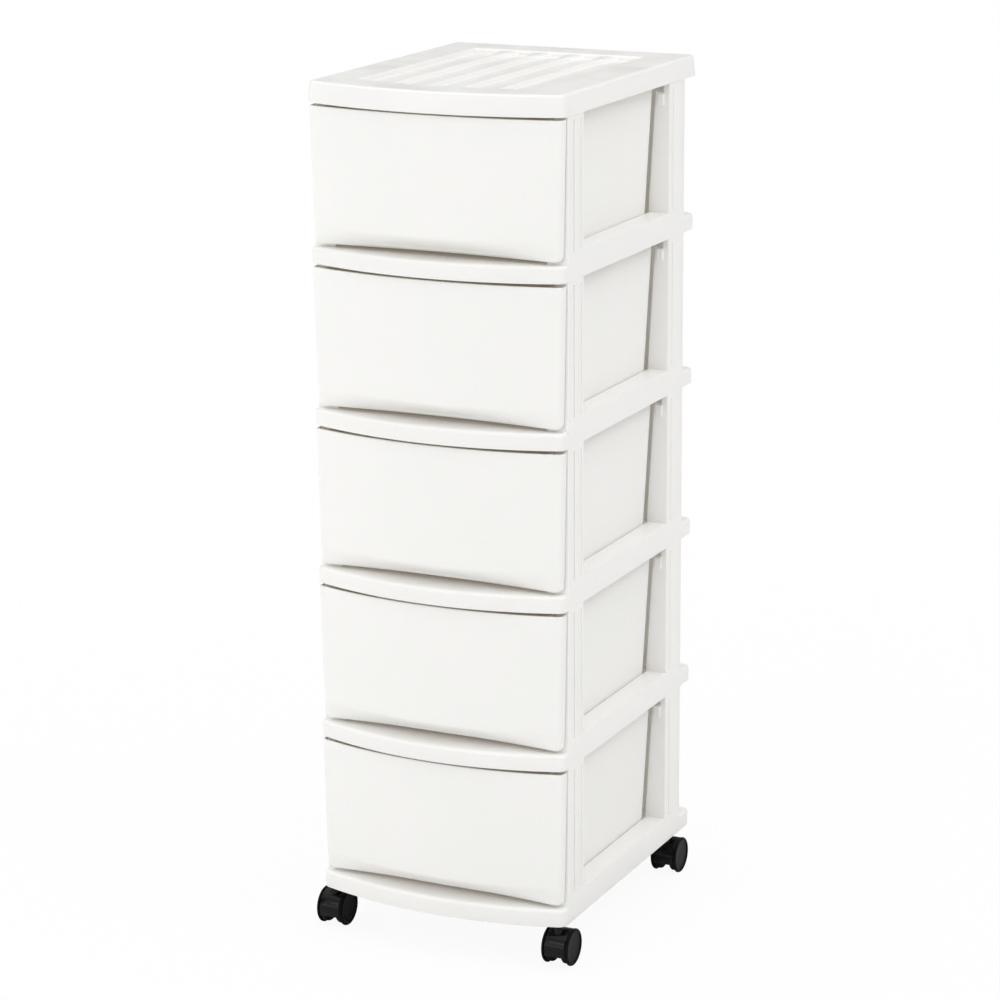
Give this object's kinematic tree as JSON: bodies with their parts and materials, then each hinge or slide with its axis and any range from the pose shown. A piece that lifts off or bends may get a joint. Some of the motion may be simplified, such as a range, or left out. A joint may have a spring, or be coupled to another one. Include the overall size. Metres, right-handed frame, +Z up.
{
  "type": "drawer tower",
  "caption": "Slim rolling drawer tower in white plastic: bow-fronted drawers with finger pulls slide between open shelves on corner posts, under a ribbed lid, on black twin-wheel casters.",
  "frame": {"origin": "on the floor, under the middle of the tower's plan box", "axes": "+X to the tower's own right as seen from the front, +Y from front to back, +Z up"},
  "size_m": [0.313, 0.3895, 0.964],
  "materials": {
    "frame_plastic": "satin",
    "drawer_plastic": "satin",
    "caster_plastic": "glossy",
    "wheel_plastic": "satin",
    "steel": "plated"
  },
  "bodies": {
    "frame": {"lid": "frame_plastic", "shelf_1": "frame_plastic", "shelf_2": "frame_plastic", "shelf_3": "frame_plastic", "shelf_4": "frame_plastic", "base_frame": "frame_plastic", "post_1_front_left": "frame_plastic", "post_1_front_right": "frame_plastic", "post_1_back_left": "frame_plastic", "post_1_back_right": "frame_plastic", "post_2_front_left": "frame_plastic", "post_2_front_right": "frame_plastic", "post_2_back_left": "frame_plastic", "post_2_back_right": "frame_plastic", "post_3_front_left": "frame_plastic", "post_3_front_right": "frame_plastic", "post_3_back_left": "frame_plastic", "post_3_back_right": "frame_plastic", "post_4_front_left": "frame_plastic", "post_4_front_right": "frame_plastic", "post_4_back_left": "frame_plastic", "post_4_back_right": "frame_plastic", "post_5_front_left": "frame_plastic", "post_5_front_right": "frame_plastic", "post_5_back_left": "frame_plastic", "post_5_back_right": "frame_plastic", "caster_sockets": "caster_plastic", "stem_front_left": "steel", "stem_front_right": "steel", "stem_back_left": "steel", "stem_back_right": "steel"},
    "drawer_1": {"drawer_1": "drawer_plastic"},
    "drawer_2": {"drawer_2": "drawer_plastic"},
    "drawer_3": {"drawer_3": "drawer_plastic"},
    "drawer_4": {"drawer_4": "drawer_plastic"},
    "drawer_5": {"drawer_5": "drawer_plastic"},
    "caster_front_left": {"hood_front_left": "caster_plastic", "axle_front_left": "steel"},
    "wheel_outer_front_left": {"wheel_outer_front_left": "wheel_plastic"},
    "wheel_inner_front_left": {"wheel_inner_front_left": "wheel_plastic"},
    "caster_front_right": {"hood_front_right": "caster_plastic", "axle_front_right": "steel"},
    "wheel_outer_front_right": {"wheel_outer_front_right": "wheel_plastic"},
    "wheel_inner_front_right": {"wheel_inner_front_right": "wheel_plastic"},
    "caster_back_left": {"hood_back_left": "caster_plastic", "axle_back_left": "steel"},
    "wheel_outer_back_left": {"wheel_outer_back_left": "wheel_plastic"},
    "wheel_inner_back_left": {"wheel_inner_back_left": "wheel_plastic"},
    "caster_back_right": {"hood_back_right": "caster_plastic", "axle_back_right": "steel"},
    "wheel_outer_back_right": {"wheel_outer_back_right": "wheel_plastic"},
    "wheel_inner_back_right": {"wheel_inner_back_right": "wheel_plastic"}
  },
  "joints": [
    {"name": "drawer_1_slide", "type": "slide", "parent": "frame", "child": "drawer_1", "axis": [0, -1, 0], "range_m": [0, 0.215]},
    {"name": "drawer_2_slide", "type": "slide", "parent": "frame", "child": "drawer_2", "axis": [0, -1, 0], "range_m": [0, 0.215]},
    {"name": "drawer_3_slide", "type": "slide", "parent": "frame", "child": "drawer_3", "axis": [0, -1, 0], "range_m": [0, 0.215]},
    {"name": "drawer_4_slide", "type": "slide", "parent": "frame", "child": "drawer_4", "axis": [0, -1, 0], "range_m": [0, 0.215]},
    {"name": "drawer_5_slide", "type": "slide", "parent": "frame", "child": "drawer_5", "axis": [0, -1, 0], "range_m": [0, 0.215]},
    {"name": "swivel_front_left", "type": "hinge", "parent": "frame", "child": "caster_front_left", "pos_m": [-0.1405, -0.1605, 0.045], "axis": [0, 0, 1], "continuous": true},
    {"name": "roll_outer_front_left", "type": "hinge", "parent": "caster_front_left", "child": "wheel_outer_front_left", "pos_m": [-0.1405, -0.1545, 0.021], "axis": [1, 0, 0], "continuous": true},
    {"name": "roll_inner_front_left", "type": "hinge", "parent": "caster_front_left", "child": "wheel_inner_front_left", "pos_m": [-0.1405, -0.1545, 0.021], "axis": [1, 0, 0], "continuous": true},
    {"name": "swivel_front_right", "type": "hinge", "parent": "frame", "child": "caster_front_right", "pos_m": [0.1405, -0.1605, 0.045], "axis": [0, 0, 1], "continuous": true},
    {"name": "roll_outer_front_right", "type": "hinge", "parent": "caster_front_right", "child": "wheel_outer_front_right", "pos_m": [0.1405, -0.1545, 0.021], "axis": [1, 0, 0], "continuous": true},
    {"name": "roll_inner_front_right", "type": "hinge", "parent": "caster_front_right", "child": "wheel_inner_front_right", "pos_m": [0.1405, -0.1545, 0.021], "axis": [1, 0, 0], "continuous": true},
    {"name": "swivel_back_left", "type": "hinge", "parent": "frame", "child": "caster_back_left", "pos_m": [-0.1405, 0.1477, 0.045], "axis": [0, 0, 1], "continuous": true},
    {"name": "roll_outer_back_left", "type": "hinge", "parent": "caster_back_left", "child": "wheel_outer_back_left", "pos_m": [-0.1405, 0.1537, 0.021], "axis": [1, 0, 0], "continuous": true},
    {"name": "roll_inner_back_left", "type": "hinge", "parent": "caster_back_left", "child": "wheel_inner_back_left", "pos_m": [-0.1405, 0.1537, 0.021], "axis": [1, 0, 0], "continuous": true},
    {"name": "swivel_back_right", "type": "hinge", "parent": "frame", "child": "caster_back_right", "pos_m": [0.1405, 0.1477, 0.045], "axis": [0, 0, 1], "continuous": true},
    {"name": "roll_outer_back_right", "type": "hinge", "parent": "caster_back_right", "child": "wheel_outer_back_right", "pos_m": [0.1405, 0.1537, 0.021], "axis": [1, 0, 0], "continuous": true},
    {"name": "roll_inner_back_right", "type": "hinge", "parent": "caster_back_right", "child": "wheel_inner_back_right", "pos_m": [0.1405, 0.1537, 0.021], "axis": [1, 0, 0], "continuous": true}
  ]
}
